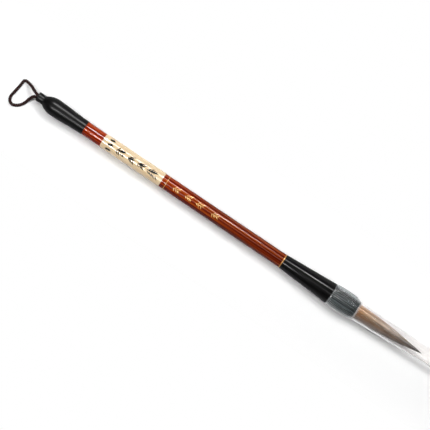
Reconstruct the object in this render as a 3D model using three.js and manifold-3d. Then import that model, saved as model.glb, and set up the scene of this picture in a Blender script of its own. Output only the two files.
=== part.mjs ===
// A calligraphy brush with its clear cap on, lying on a table with its axis along +X.
// The hair points to +X and the hanging loop lies towards -X. Units are millimetres, +Z is up,
// and the origin is under the middle of the brush, on the table.
import * as THREE from "three";
import { mergeVertices } from "three/addons/utils/BufferGeometryUtils.js";
import Module from "manifold-3d";

const wasm = await Module();
wasm.setup();

// ---- Driving dimensions ----

const SEGMENTS = 44; // facets round a turned piece
const HIDDEN_SEGMENTS = 22; // facets round a piece that nothing shows
const FIT = 0.05; // radial clearance of glued and pressed pieces
const SOFT_GAP = 0.3; // clearance round hair, thread and cord

// Hanger plug, where the cord comes out of the tail
const PLUG_RADIUS = 2.84;
const PLUG_LENGTH = 4.6; // the part that shows
const PLUG_CHAMFER = 0.55;
const PLUG_STEM_RADIUS = 2.45;
const PLUG_STEM_LENGTH = 5.4; // the part inside the bulb
const PLUG_BORE_RADIUS = 2.0;

// Cord: one piece, both ends knotted inside the bulb
const CORD_DIAMETER = 1.7;
const CORD_SIDES = 8;
const CORD_STEPS = 66;
const CORD_TURN = 38; // degrees that the two strands in the bore are turned from one above the other
const KNOT_RADIUS = 2.15;
const KNOT_LENGTH = 5;

// Tail bulb
const BULB_LENGTH = 28.8;
const BULB_WIDEST_RADIUS = 5.25;
const BULB_WIDEST_AT = 7.4; // from its rear face
const BULB_DOME_FULLNESS = 2.15;
const BULB_FRONT_LAND = 1.8; // straight stretch where the bulb meets the shaft
const BULB_PROUD = 0.2; // how far it stands above the shaft there

// Shaft
const SHAFT_LENGTH = 138.2; // between the bulb and the ring
const SHAFT_TAIL_RADIUS = 4.18;
const SHAFT_FRONT_RADIUS = 4.32;
const TENON_RADIUS = 3.0;
const TAIL_TENON_LENGTH = 9;
const FRONT_TENON_LENGTH = 12;
const TENON_CHAMFER = 0.6;

// Paper label wrapped round the shaft
const LABEL_FROM_BULB = 12.7;
const LABEL_LENGTH = 41.4;
const LABEL_THICKNESS = 0.12;

// Gold ring between the shaft and the ferrule
const RING_LENGTH = 0.6;
const RING_PROUD = 0.1;

// Hair
const HAIR_LENGTH = 46; // outside the ferrule
const HAIR_RADIUS = 4.65; // at the ferrule's mouth
const HAIR_FULLNESS = 1.6; // exponents of the outline: how far it stays full,
const HAIR_TAPER = 0.8; // and how it closes towards the point
const HAIR_DRIFT = 0.5; // how far the point lies off the axis, towards +Y
const ROOT_RADIUS = 4.05;
const ROOT_DEPTH = 7; // how far the root reaches into the ferrule
const ROOT_GRIP = 0.3; // how deep the strands sink into their bound root
const ROOT_GAP = 0.15; // between the roots of the two hairs
const CORE_ROOT_SQUEEZE = 0.04; // share that the core gives up where it is bound
const CORE_RINGS = 5; // rings of strands round the middle one
const CORE_STRAND = 0.2; // radius of a strand at the ferrule's mouth
const CORE_SHARE = 0.56; // of the bundle's radius at the mouth
const CORE_SHARE_GAIN = 0.24; // what the core gains towards the point
const CORE_END_SPREAD = 6; // how much shorter the outer core strands are
const MANTLE_RING_COUNTS = [64, 70, 76]; // strands in each ring, inside to outside
const MANTLE_STRAND = 0.14;
const MANTLE_LENGTH = 34; // where the mantle hair ends, from the mouth
const MANTLE_END_SPREAD = 3;
const MANTLE_SPACING = 0.1; // share of the radius between core and mantle
const MANTLE_OUTER_SHARE = 0.965;

// Thread winding and rosin inside the ferrule
const BINDING_TURNS = 5;
const BINDING_THREAD = 0.5; // thread diameter
const ROSIN_LENGTH = 2.5;

// Ferrule: flared horn, a shoulder, and the neck that the cap slides over
const FLARE_LENGTH = 33.6;
const FERRULE_REAR_PROUD = 0.08; // above the shaft
const SHOULDER_STEP = 1.1;
const SHOULDER_CHAMFER = 0.15;
const NECK_LENGTH = 17.3;
const NECK_FRONT_WALL = 0.45;
const NECK_SWELL = 0.4; // how much the neck swells at its widest
const NECK_WIDEST_AT = 9.2; // from the shoulder
const NECK_LIP = 0.25; // rounding of the neck's mouth
const NECK_LIP_LENGTH = 1.8;

// Cap: one clear moulding, a collar with ribs outside and a tapering tube
const CAP_CLEARANCE = 0.12; // over the neck
const CAP_SEAT_GAP = 0.3; // between the neck's mouth and the step inside the cap
const CAP_HAIR_CLEARANCE = 0.25;
const CAP_TIP_ROOM = 18.3; // cap beyond the point of the hair
const RIB_COUNT = 36;
const RIB_DEPTH = 0.2;
const RIB_START = 0.9; // from the cap's mouth
const RIB_LENGTH = 13.6;
const RIB_RUNOUT = 0.4; // in which the grooves between the ribs reach their depth
const COLLAR_MOUTH_WALL = 0.81;
const COLLAR_SWELL = 0.37;
const COLLAR_WIDEST_AT = 8;
const COLLAR_REAR_CURVE = 1.8; // exponents of the barrel's outline to both sides of its widest
const COLLAR_FRONT_CURVE = 3.4;
const COLLAR_FRONT_STEP = 0.6; // from the collar down to the tube
const COLLAR_SHOULDER_LENGTH = 1.3;
const MOUTH_CHAMFER = 0.3;
const TUBE_WALL = 0.55;
const TUBE_DRAFT = 0.65; // what the tube loses in radius along its length
const CAP_END_WALL = 0.8;
const CAP_END_ROUND = 0.9;
const VENT_RADIUS = 0.75;

// Route of the cord outside the plug: x from the plug's rear face, y from the brush's axis and
// z from the table. It leaves the bore above its other end, falls to the table and comes back.
const CORD_ROUTE = [
  [-1.3, 0.8, 7.9],
  [-2.6, 1.3, 7.4],
  [-4.4, 1.9, 6.3],
  [-6.3, 2.7, 4.6],
  [-8.3, 3.2, 2.9],
  [-10.2, 3.5, 1.6],
  [-11.5, 3.6, 1.0],
  [-12.5, 3.0, 0.9],
  [-12.7, 1.6, 0.9],
  [-12.9, -0.6, 0.9],
  [-13.3, -3.2, 0.9],
  [-13.7, -6.1, 0.9],
  [-14.0, -8.7, 0.9],
  [-13.4, -10.8, 0.9],
  [-12.3, -11.9, 0.9],
  [-10.8, -12.4, 0.9],
  [-9.2, -11.9, 0.9],
  [-7.5, -10.9, 0.9],
  [-6.0, -9.3, 1.0],
  [-4.8, -7.0, 1.5],
  [-4.1, -4.9, 2.4],
  [-3.2, -2.9, 3.7],
  [-1.8, -1.3, 5.3],
];

// ---- Sizes that follow ----

const boreOfBulb = PLUG_STEM_RADIUS + FIT;
const socketRadius = HAIR_RADIUS + SOFT_GAP;
const neckFrontRadius = socketRadius + NECK_FRONT_WALL;
const neckWidestRadius = neckFrontRadius + NECK_SWELL;
const neckLipStart = NECK_LENGTH - NECK_LIP_LENGTH;
const shoulderRadius = neckFrontRadius + SHOULDER_STEP;
const bindingLength = BINDING_TURNS * BINDING_THREAD;
const rootFront = ROOT_DEPTH - bindingLength; // from the mouth back to where the hair is free
const socketDepth = ROOT_DEPTH + SOFT_GAP + ROSIN_LENGTH;

const capBoreRadius = neckWidestRadius + CAP_CLEARANCE;
const collarMouthRadius = capBoreRadius + COLLAR_MOUTH_WALL;
const collarRadius = collarMouthRadius + COLLAR_SWELL;
const tubeBoreRadius = HAIR_RADIUS + CAP_HAIR_CLEARANCE;
const tubeRadius = tubeBoreRadius + TUBE_WALL;
const collarEnd = NECK_LENGTH - CAP_SEAT_GAP;
const ribEnd = RIB_START + RIB_LENGTH;
const capLength = NECK_LENGTH + HAIR_LENGTH + CAP_TIP_ROOM;

// Stations along the axis, counted from the plug's rear face
const bulbX = PLUG_LENGTH;
const shaftX = bulbX + BULB_LENGTH;
const ringX = shaftX + SHAFT_LENGTH;
const ferruleX = ringX + RING_LENGTH;
const shoulderX = ferruleX + FLARE_LENGTH;
const mouthX = shoulderX + NECK_LENGTH;
const overallLength = shoulderX + capLength;

// ---- Helpers ----

function material(color, roughness, metalness = 0, extra = {}) {
  return new THREE.MeshStandardMaterial({ color, roughness, metalness, ...extra });
}

// A turned piece: its profile is a list of [distance along the axis, radius].
function revolve(profile, segments = SEGMENTS) {
  const points = profile.map(([x, radius]) => new THREE.Vector2(radius, x));
  if (THREE.ShapeUtils.area(points) < 0) points.reverse();
  const ends = [points[0], points[points.length - 1]];
  if (ends.some((point) => point.x > 0)) points.push(points[0].clone());
  return new THREE.LatheGeometry(points, segments).rotateZ(-Math.PI / 2);
}

function mesh(name, geometry, look, x = 0) {
  const made = new THREE.Mesh(geometry, look);
  made.name = name;
  made.position.x = x;
  return made;
}

function solid(geometry) {
  const bare = (geometry.index ? geometry.toNonIndexed() : geometry).clone();
  bare.deleteAttribute("normal");
  bare.deleteAttribute("uv");
  const merged = mergeVertices(bare, 1e-4);
  return new wasm.Manifold(
    new wasm.Mesh({
      numProp: 3,
      vertProperties: merged.attributes.position.array,
      triVerts: new Uint32Array(merged.index.array),
    }),
  );
}

function geometryOf(made) {
  const { numProp, vertProperties, triVerts } = made.getMesh();
  const buffer = new THREE.InterleavedBuffer(vertProperties, numProp);
  const geometry = new THREE.BufferGeometry();
  geometry.setAttribute("position", new THREE.InterleavedBufferAttribute(buffer, 3, 0));
  geometry.setIndex(new THREE.BufferAttribute(triVerts, 1));
  const flat = geometry.toNonIndexed();
  flat.computeVertexNormals();
  return flat;
}

// Steps of a share from 0 to 1, both ends included.
function shares(count) {
  return Array.from({ length: count + 1 }, (_, i) => i / count);
}

function ease(share) {
  return (1 - Math.cos(Math.PI * share)) / 2;
}

// ---- Cord and hanger plug ----

function hangingLoop() {
  const height = collarRadius; // of the axis above the table
  const strandOffset = (CORD_DIAMETER + 0.2) / 2;
  const end = PLUG_LENGTH + PLUG_STEM_LENGTH + SOFT_GAP;
  const turn = (CORD_TURN * Math.PI) / 180;
  const [aside, above] = [strandOffset * Math.sin(turn), strandOffset * Math.cos(turn)];
  const inside = [end, end / 2, 0.6];
  const out = inside.map((x) => [x, aside, height + above]);
  const back = inside.map((x) => [x, -aside, height - above]).reverse();
  const points = [...out, ...CORD_ROUTE, ...back].map(([x, y, z]) => {
    return new THREE.Vector3(x, y, z - height);
  });
  const path = new THREE.CatmullRomCurve3(points, false, "centripetal");
  const section = new THREE.Shape();
  for (let i = 0; i < CORD_SIDES; i++) {
    const angle = (2 * Math.PI * i) / CORD_SIDES;
    const corner = [(Math.cos(angle) * CORD_DIAMETER) / 2, (Math.sin(angle) * CORD_DIAMETER) / 2];
    if (i === 0) section.moveTo(...corner);
    else section.lineTo(...corner);
  }
  return new THREE.ExtrudeGeometry(section, {
    steps: CORD_STEPS,
    extrudePath: path,
    bevelEnabled: false,
  });
}

function cordKnot() {
  const bulge = shares(6).map((share) => {
    const angle = Math.PI * share;
    const taper = 0.35 + 0.65 * Math.sin(angle);
    return [KNOT_LENGTH * share, KNOT_RADIUS * taper];
  });
  return revolve([[0, 0], ...bulge, [KNOT_LENGTH, 0]], HIDDEN_SEGMENTS);
}

function hangerPlug() {
  const length = PLUG_LENGTH + PLUG_STEM_LENGTH;
  return revolve([
    [0, PLUG_BORE_RADIUS],
    [0, PLUG_RADIUS - PLUG_CHAMFER / 2],
    [PLUG_CHAMFER, PLUG_RADIUS],
    [PLUG_LENGTH - PLUG_CHAMFER, PLUG_RADIUS],
    [PLUG_LENGTH, PLUG_RADIUS - PLUG_CHAMFER / 3],
    [PLUG_LENGTH, PLUG_STEM_RADIUS],
    [length, PLUG_STEM_RADIUS],
    [length, PLUG_BORE_RADIUS],
  ]);
}

// ---- Bulb, shaft, label and ring ----

function bulbRadius(x) {
  if (x < BULB_WIDEST_AT) {
    const toWidest = (BULB_WIDEST_AT - x) / BULB_WIDEST_AT;
    const dome = 1 - Math.pow(toWidest, BULB_DOME_FULLNESS);
    return PLUG_RADIUS + (BULB_WIDEST_RADIUS - PLUG_RADIUS) * dome;
  }
  const frontRadius = SHAFT_TAIL_RADIUS + BULB_PROUD;
  const share = (x - BULB_WIDEST_AT) / (BULB_LENGTH - BULB_FRONT_LAND - BULB_WIDEST_AT);
  return BULB_WIDEST_RADIUS + (frontRadius - BULB_WIDEST_RADIUS) * ease(Math.min(1, share));
}

function tailBulb() {
  const dome = shares(6).map((share) => BULB_WIDEST_AT * share * share * (3 - share) * 0.5);
  const taperLength = BULB_LENGTH - BULB_FRONT_LAND - BULB_WIDEST_AT;
  const taper = shares(6).map((share) => BULB_WIDEST_AT + taperLength * share);
  const outline = [...dome.slice(0, -1), ...taper, BULB_LENGTH];
  const tenonFloor = BULB_LENGTH - TAIL_TENON_LENGTH - SOFT_GAP;
  return revolve([
    [0, boreOfBulb],
    ...outline.map((x) => [x, bulbRadius(x)]),
    [BULB_LENGTH, TENON_RADIUS + FIT],
    [tenonFloor, TENON_RADIUS + FIT],
    [tenonFloor, boreOfBulb],
  ]);
}

function shaftRadius(x) {
  return SHAFT_TAIL_RADIUS + ((SHAFT_FRONT_RADIUS - SHAFT_TAIL_RADIUS) * x) / SHAFT_LENGTH;
}

function shaft() {
  const end = SHAFT_LENGTH + FRONT_TENON_LENGTH;
  return revolve([
    [-TAIL_TENON_LENGTH, 0],
    [-TAIL_TENON_LENGTH, TENON_RADIUS - TENON_CHAMFER],
    [-TAIL_TENON_LENGTH + TENON_CHAMFER, TENON_RADIUS],
    [0, TENON_RADIUS],
    [0, SHAFT_TAIL_RADIUS],
    [SHAFT_LENGTH, SHAFT_FRONT_RADIUS],
    [SHAFT_LENGTH, TENON_RADIUS],
    [end - TENON_CHAMFER, TENON_RADIUS],
    [end, TENON_RADIUS - TENON_CHAMFER],
    [end, 0],
  ]);
}

function labelSleeve() {
  const front = LABEL_FROM_BULB + LABEL_LENGTH;
  const inner = [LABEL_FROM_BULB, front].map((x) => [x, shaftRadius(x) + FIT]);
  const outer = inner.map(([x, radius]) => [x, radius + LABEL_THICKNESS]).reverse();
  return revolve([...inner, ...outer]);
}

function goldRing() {
  const outside = SHAFT_FRONT_RADIUS + RING_PROUD;
  return revolve([
    [0, TENON_RADIUS + FIT],
    [0, outside],
    [RING_LENGTH, outside],
    [RING_LENGTH, TENON_RADIUS + FIT],
  ]);
}

// ---- Ferrule ----

// Radius of the neck at a distance from the shoulder, up to the rounding of its mouth.
function neckRadius(x) {
  const span = x < NECK_WIDEST_AT ? NECK_WIDEST_AT : neckLipStart - NECK_WIDEST_AT;
  const share = (x - NECK_WIDEST_AT) / span;
  return neckWidestRadius - NECK_SWELL * share * share;
}

function ferrule() {
  const rear = SHAFT_FRONT_RADIUS + FERRULE_REAR_PROUD;
  const tenonFloor = FRONT_TENON_LENGTH - RING_LENGTH + SOFT_GAP;
  const mouth = FLARE_LENGTH + NECK_LENGTH;
  const socketFloor = mouth - socketDepth;
  const neck = shares(6).map((share) => {
    const x = neckLipStart * share;
    return [FLARE_LENGTH + x, neckRadius(x)];
  });
  return revolve([
    [0, TENON_RADIUS + FIT],
    [0, rear],
    [FLARE_LENGTH - SHOULDER_CHAMFER, shoulderRadius],
    [FLARE_LENGTH, shoulderRadius - SHOULDER_CHAMFER],
    ...neck,
    [mouth - NECK_LIP_LENGTH / 3, neckFrontRadius - NECK_LIP / 4],
    [mouth, neckFrontRadius - NECK_LIP],
    [mouth, socketRadius],
    [socketFloor, socketRadius],
    [socketFloor, TENON_RADIUS - SOFT_GAP],
    [tenonFloor, TENON_RADIUS - SOFT_GAP],
    [tenonFloor, TENON_RADIUS + FIT],
  ]);
}

// ---- Hair, its binding and the rosin ----

// Radius of the bundle at a distance from the ferrule's mouth; it narrows into the root behind.
function bundleRadius(x) {
  if (x < 0) return HAIR_RADIUS + ((ROOT_RADIUS - HAIR_RADIUS) * -x) / rootFront;
  const narrowing = Math.pow(Math.min(1, x / HAIR_LENGTH), HAIR_FULLNESS);
  return HAIR_RADIUS * Math.pow(1 - narrowing, HAIR_TAPER);
}

function coreShare(x) {
  if (x < 0) return CORE_SHARE - CORE_ROOT_SQUEEZE;
  return CORE_SHARE + CORE_SHARE_GAIN * Math.pow(x / HAIR_LENGTH, 2);
}

// Even but irregular-looking shares in 0 to 1, for the uneven ends of the strands.
function scatter(index) {
  return (index * 0.618034) % 1;
}

// Three-sided strands that narrow to a point. Each has an angle round the axis, rings of
// [x, distance from the axis, strand radius], and a tip of [x, distance from the axis].
function strandGeometry(strands) {
  const positions = [];
  const place = (x, distance, angle, radius, corner) => {
    const drift = HAIR_DRIFT * Math.pow(Math.max(0, x) / HAIR_LENGTH, 2);
    const turn = angle + (2 * Math.PI * corner) / 3;
    return [
      x,
      distance * Math.cos(angle) + radius * Math.cos(turn) + drift,
      distance * Math.sin(angle) + radius * Math.sin(turn),
    ];
  };
  for (const { angle, rings, tip } of strands) {
    const corners = rings.map(([x, distance, radius]) => {
      return [0, 1, 2].map((corner) => place(x, distance, angle, radius, corner));
    });
    const point = place(tip[0], tip[1], angle, 0, 0);
    positions.push(corners[0][0], corners[0][2], corners[0][1]);
    for (let corner = 0; corner < 3; corner++) {
      const next = (corner + 1) % 3;
      for (let ring = 1; ring < corners.length; ring++) {
        const [below, above] = [corners[ring - 1], corners[ring]];
        positions.push(below[corner], below[next], above[next]);
        positions.push(below[corner], above[next], above[corner]);
      }
      const last = corners[corners.length - 1];
      positions.push(last[corner], last[next], point);
    }
  }
  const geometry = new THREE.BufferGeometry();
  geometry.setAttribute("position", new THREE.Float32BufferAttribute(positions.flat(), 3));
  return geometry;
}

function boundRoot(inner, outer) {
  return revolve([
    [-ROOT_DEPTH, inner],
    [-ROOT_DEPTH, outer],
    [-rootFront, outer],
    [-rootFront, inner],
  ]);
}

const strandStart = -rootFront - ROOT_GRIP;
const coreRootRadius = ROOT_RADIUS * (CORE_SHARE - CORE_ROOT_SQUEEZE) + CORE_STRAND;

function hairCore() {
  const strands = [];
  for (let ring = 0; ring <= CORE_RINGS; ring++) {
    const count = Math.max(1, 6 * ring);
    for (let i = 0; i < count; i++) {
      const out = ring / CORE_RINGS;
      const distance = (x) => out * coreShare(x) * bundleRadius(x);
      const stations = [strandStart, 0, HAIR_LENGTH * 0.37, HAIR_LENGTH * 0.72];
      const radii = [0.9, 1, 0.85, 0.55];
      const shorter = CORE_END_SPREAD * (0.85 * Math.pow(out, 1.5) + 0.15 * scatter(i + ring));
      const end = HAIR_LENGTH - shorter;
      strands.push({
        angle: (2 * Math.PI * i) / count,
        rings: stations.map((x, k) => [x, distance(x), CORE_STRAND * radii[k]]),
        tip: [end, distance(end)],
      });
    }
  }
  const root = solid(boundRoot(0, coreRootRadius));
  return geometryOf(root.add(solid(strandGeometry(strands))));
}

function hairMantle() {
  const strands = [];
  MANTLE_RING_COUNTS.forEach((count, ring) => {
    const out = ring / (MANTLE_RING_COUNTS.length - 1);
    const distance = (x) => {
      const inner = coreShare(x) + MANTLE_SPACING;
      return bundleRadius(x) * (inner + (MANTLE_OUTER_SHARE - inner) * out);
    };
    const stations = [strandStart, 0, MANTLE_LENGTH / 2];
    const radii = [0.85, 1, 0.8];
    for (let i = 0; i < count; i++) {
      const end = MANTLE_LENGTH - MANTLE_END_SPREAD * scatter(i + 7 * ring);
      strands.push({
        angle: (2 * Math.PI * (i + 0.5 * (ring % 2))) / count,
        rings: stations.map((x, k) => [x, distance(x), MANTLE_STRAND * radii[k]]),
        tip: [end, distance(end)],
      });
    }
  });
  const inner = coreRootRadius + ROOT_GAP;
  const root = solid(boundRoot(inner, ROOT_RADIUS + FIT));
  return geometryOf(root.add(solid(strandGeometry(strands))));
}

// Turns of thread round the root, side by side.
function rootBinding() {
  const inner = ROOT_RADIUS + 2 * FIT;
  const crests = shares(BINDING_TURNS * 2).map((share, i) => {
    return [bindingLength * share, inner + BINDING_THREAD * (i % 2 ? 1 : 0.5)];
  });
  return revolve([[0, inner], ...crests, [bindingLength, inner]], HIDDEN_SEGMENTS);
}

function rosinPlug() {
  const radius = socketRadius - FIT;
  const profile = [
    [0, 0],
    [0, radius],
    [ROSIN_LENGTH, radius],
    [ROSIN_LENGTH, 0],
  ];
  return revolve(profile, HIDDEN_SEGMENTS);
}

// ---- Cap ----

// Radius of the barrel-shaped collar over its ribs.
function barrelRadius(x) {
  const ahead = x > COLLAR_WIDEST_AT;
  const end = ahead ? collarEnd : MOUTH_CHAMFER;
  const endRadius = ahead ? tubeRadius + COLLAR_FRONT_STEP : collarMouthRadius;
  const curve = ahead ? COLLAR_FRONT_CURVE : COLLAR_REAR_CURVE;
  const share = (x - COLLAR_WIDEST_AT) / (end - COLLAR_WIDEST_AT);
  return collarRadius - (collarRadius - endRadius) * Math.pow(share, curve);
}

// Outside of the cap from its mouth: barrel-shaped collar, shoulder, drafted tube, rounded end.
function capOutline() {
  const between = (from, to, count) => shares(count).map((share) => from + (to - from) * share);
  const barrel = [
    MOUTH_CHAMFER,
    RIB_START,
    ...between(RIB_START + RIB_RUNOUT, COLLAR_WIDEST_AT, 3),
    ...between(COLLAR_WIDEST_AT, ribEnd - RIB_RUNOUT, 4).slice(1),
    ...between(ribEnd, collarEnd, 2),
  ].map((x) => [x, barrelRadius(x)]);
  const shoulder = shares(3).map((share) => {
    const down = COLLAR_FRONT_STEP * ease(share);
    return [collarEnd + COLLAR_SHOULDER_LENGTH * share, tubeRadius + COLLAR_FRONT_STEP - down];
  });
  const tipRadius = tubeRadius - TUBE_DRAFT;
  const end = shares(3).map((share) => {
    const angle = (Math.PI / 2) * share;
    const x = capLength - CAP_END_ROUND * (1 - Math.sin(angle));
    return [x, tipRadius - CAP_END_ROUND * (1 - Math.cos(angle))];
  });
  return [[0, collarMouthRadius - MOUTH_CHAMFER], ...barrel, ...shoulder.slice(1), ...end];
}

// Inside of the cap from its closed end back to the mouth.
function capBore() {
  const stepX = NECK_LENGTH + CAP_SEAT_GAP;
  const alongNeck = shares(2).map((share) => {
    const x = neckLipStart - (neckLipStart - NECK_WIDEST_AT) * share;
    return [x, neckRadius(x) + CAP_CLEARANCE];
  });
  return [
    [capLength, VENT_RADIUS],
    [capLength - CAP_END_WALL, VENT_RADIUS],
    [capLength - CAP_END_WALL, tubeBoreRadius - TUBE_DRAFT],
    [stepX + TUBE_WALL, tubeBoreRadius],
    [stepX, tubeBoreRadius + TUBE_WALL / 3],
    [stepX, neckFrontRadius],
    ...alongNeck,
    [MOUTH_CHAMFER, capBoreRadius],
    [0, capBoreRadius + MOUTH_CHAMFER],
  ];
}

// How deep the grooves between the ribs are at a distance from the mouth.
function grooveDepth(x) {
  const inside = x > RIB_START && x < ribEnd;
  return inside ? RIB_DEPTH : 0;
}

// The cap's skin has two points to each rib all round: one on the rib and one in the groove.
function cap() {
  const outside = capOutline().map(([x, radius]) => [x, radius, grooveDepth(x)]);
  const inside = capBore().map(([x, radius]) => [x, radius, 0]);
  const rings = [...outside, ...inside];
  const count = 2 * RIB_COUNT;
  const corner = (ring, k) => {
    const [x, radius, depth] = rings[ring % rings.length];
    const angle = (2 * Math.PI * k) / count;
    const out = radius - (k % 2) * depth;
    return [x, out * Math.cos(angle), out * Math.sin(angle)];
  };
  const positions = [];
  for (let ring = 0; ring < rings.length; ring++) {
    for (let k = 0; k < count; k++) {
      const [near, nearNext] = [corner(ring, k), corner(ring, k + 1)];
      const [far, farNext] = [corner(ring + 1, k), corner(ring + 1, k + 1)];
      positions.push(near, nearNext, farNext);
      positions.push(near, farNext, far);
    }
  }
  const geometry = new THREE.BufferGeometry();
  geometry.setAttribute("position", new THREE.Float32BufferAttribute(positions.flat(), 3));
  return geometryOf(solid(geometry));
}

// ---- Assembly ----

const blackHorn = material(0x16171a, 0.3);
const redWood = material(0x7a2410, 0.3);
const paper = material(0xe9d3a8, 0.6);
const gold = material(0xc9973f, 0.3, 1);
const cordFibre = material(0x2e1714, 0.9);
const mantleHair = material(0xb07a4c, 0.7);
const coreHair = material(0x4d403a, 0.7);
const thread = material(0xd8cdb8, 0.9);
const rosin = material(0x8a4f1c, 0.4);
const clearPlastic = material(0xeef2f3, 0.1, 0, { transparent: true, opacity: 0.35 });

const handle = new THREE.Group();
handle.add(
  mesh("hanging_loop", hangingLoop(), cordFibre),
  mesh("cord_knot", cordKnot(), cordFibre, PLUG_LENGTH + PLUG_STEM_LENGTH + 2 * SOFT_GAP),
  mesh("hanger_plug", hangerPlug(), blackHorn),
  mesh("tail_bulb", tailBulb(), blackHorn, bulbX),
  mesh("shaft", shaft(), redWood, shaftX),
  mesh("label_sleeve", labelSleeve(), paper, shaftX),
  mesh("gold_ring", goldRing(), gold, ringX),
  mesh("ferrule", ferrule(), blackHorn, ferruleX),
);

const head = new THREE.Group();
head.position.x = mouthX;
head.add(
  mesh("hair_core", hairCore(), coreHair),
  mesh("hair_mantle", hairMantle(), mantleHair),
  mesh("root_binding", rootBinding(), thread, -ROOT_DEPTH),
  mesh("rosin_plug", rosinPlug(), rosin, -socketDepth),
);

const capGroup = new THREE.Group();
capGroup.position.x = shoulderX;
capGroup.add(mesh("cap", cap(), clearPlastic));

const brush = new THREE.Group();
brush.position.set(-overallLength / 2, 0, collarRadius);
brush.add(handle, head, capGroup);

export default brush;
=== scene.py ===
"""A calligraphy brush with its clear cap on, lying on a white table and seen from straight above.

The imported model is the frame: x runs along the brush from its hanging loop to its hair, z is up,
and the table is at z = 0. Sizes are in millimetres, except where a comment gives metres, and
meshes are written in metres.
"""

import math
import random

import bmesh
import bpy
import numpy as np
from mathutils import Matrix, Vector


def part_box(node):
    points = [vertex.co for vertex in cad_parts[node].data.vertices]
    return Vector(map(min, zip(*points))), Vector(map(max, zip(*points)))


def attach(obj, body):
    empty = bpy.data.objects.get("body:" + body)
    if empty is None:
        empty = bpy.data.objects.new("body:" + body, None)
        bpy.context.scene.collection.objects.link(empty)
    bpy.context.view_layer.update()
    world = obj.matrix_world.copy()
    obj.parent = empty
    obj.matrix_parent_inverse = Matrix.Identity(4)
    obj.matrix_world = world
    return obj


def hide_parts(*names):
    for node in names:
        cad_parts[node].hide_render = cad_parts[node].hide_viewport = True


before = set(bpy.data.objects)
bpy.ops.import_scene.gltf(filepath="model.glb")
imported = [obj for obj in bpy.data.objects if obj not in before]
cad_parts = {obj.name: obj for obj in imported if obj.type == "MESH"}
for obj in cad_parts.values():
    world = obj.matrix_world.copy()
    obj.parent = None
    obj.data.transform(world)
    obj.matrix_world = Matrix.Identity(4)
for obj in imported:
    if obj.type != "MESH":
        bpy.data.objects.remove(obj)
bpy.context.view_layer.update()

MM = 0.001
scene = bpy.context.scene


# ---- Places that the frame gives ----


def reach(node):
    """Where a CAD node starts and ends along the brush, and its largest radius."""
    low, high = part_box(node)
    return low.x / MM, high.x / MM, (high.z - low.z) / 2 / MM


shaft_low, shaft_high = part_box("shaft")
AXIS_Z = (shaft_low.z + shaft_high.z) / 2 / MM

PLUG_X, _, PLUG_RADIUS = reach("hanger_plug")
BULB_X, SHAFT_X, BULB_RADIUS = reach("tail_bulb")
RING_X, FERRULE_X, RING_RADIUS = reach("gold_ring")
_, MOUTH_X, _ = reach("ferrule")
SHOULDER_X, CAP_END_X, COLLAR_RADIUS = reach("cap")
_, HAIR_TIP_X, _ = reach("hair_core")
LABEL_X, LABEL_END_X, _ = reach("label_sleeve")

BULB_LENGTH = SHAFT_X - BULB_X
SHAFT_LENGTH = RING_X - SHAFT_X
NECK_LENGTH = MOUTH_X - SHOULDER_X
HAIR_LENGTH = HAIR_TIP_X - MOUTH_X
CAP_LENGTH = CAP_END_X - SHOULDER_X


# ---- Sizes of the pieces ----

ON_AXIS = 1e-6
FIT = 0.05
SOFT_GAP = 0.3
EDGE_ROUND = 0.12

PLUG_STEM_RADIUS = 2.45
PLUG_STEM_LENGTH = 5.4
PLUG_BORE_RADIUS = 2
PLUG_BORE_ROUND = 0.2
PLUG_REAR_ROUND = 0.5
PLUG_FRONT_ROUND = 0.35

BULB_WIDEST_AT = 7.4
BULB_DOME_FULLNESS = 2.15
BULB_DOME_CROWDING = 1.6
BULB_DOME_POINTS = 24
BULB_TAPER_POINTS = 32
BULB_FRONT_LAND = 1.8
BULB_FRONT_RADIUS = 4.38

SHAFT_TAIL_RADIUS = 4.18
SHAFT_FRONT_RADIUS = 4.32
TENON_RADIUS = 3
TAIL_TENON_LENGTH = 9
FRONT_TENON_LENGTH = 12
TENON_ROUND = 0.6
RING_ROUND = 0.15

LABEL_THICKNESS = 0.12
LABEL_LAP = math.radians(34)
LABEL_LAP_CLIMB = math.radians(8)
LABEL_LAP_PLAY = 0.02
LABEL_STEP = math.radians(2.5)
LABEL_COLUMNS = 24

FERRULE_REAR_RADIUS = 4.4
SHOULDER_RADIUS = 6.5
SHOULDER_ROUND = 0.22
NECK_FRONT_RADIUS = 5.4
NECK_WIDEST_RADIUS = 5.8
NECK_WIDEST_AT = 9.2
NECK_LIP_START = 15.5
NECK_LIP_ROUND = 0.35
NECK_POINTS = 24
SOCKET_RADIUS = 4.95
SOCKET_DEPTH = 9.8

HAIR_RADIUS = 4.65
HAIR_FULLNESS = 1.6
HAIR_TAPER = 0.8
HAIR_DRIFT = 0.5
ROOT_RADIUS = 4.05
ROOT_FRONT = 4.5
ROOT_GRIP = 0.3

CAP_BORE_RADIUS = 5.92
CAP_CLEARANCE = 0.12
CAP_SEAT_GAP = 0.3
MOUTH_ROUND = 0.3
MOUTH_MIDDLE = 0.09
CAP_MOUTH_RADIUS = 6.73
COLLAR_WIDEST_AT = 8
COLLAR_REAR_CURVE = 1.8
COLLAR_FRONT_CURVE = 3.4
COLLAR_POINTS = 60
COLLAR_STEP = 0.15
COLLAR_EASE_LENGTH = 1.3
TUBE_RADIUS = 5.9
TUBE_BORE_RADIUS = 5.05
TUBE_DRAFT = 1.3
TUBE_BORE_DRAFT = 0.95
TUBE_LEAN = math.radians(1.3)
BORE_NECK_POINTS = 8
BORE_STEP_LEAD = 0.18
BORE_LEAD_ROUND = 0.1
BORE_STEP_ROUND = 0.3
BORE_END_ROUND = 0.5
CAP_END_WALL = 0.8
CAP_END_ROUND = 0.9
CAP_ROUND_POINTS = 9
VENT_RADIUS = 0.75
VENT_ROUND = 0.1
RIB_COUNT = 36
RIB_SEGMENTS = 14
RIB_DEPTH = 0.2
RIB_START = 0.9
RIB_LENGTH = 13.6
RIB_RUNOUT = 0.4

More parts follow.
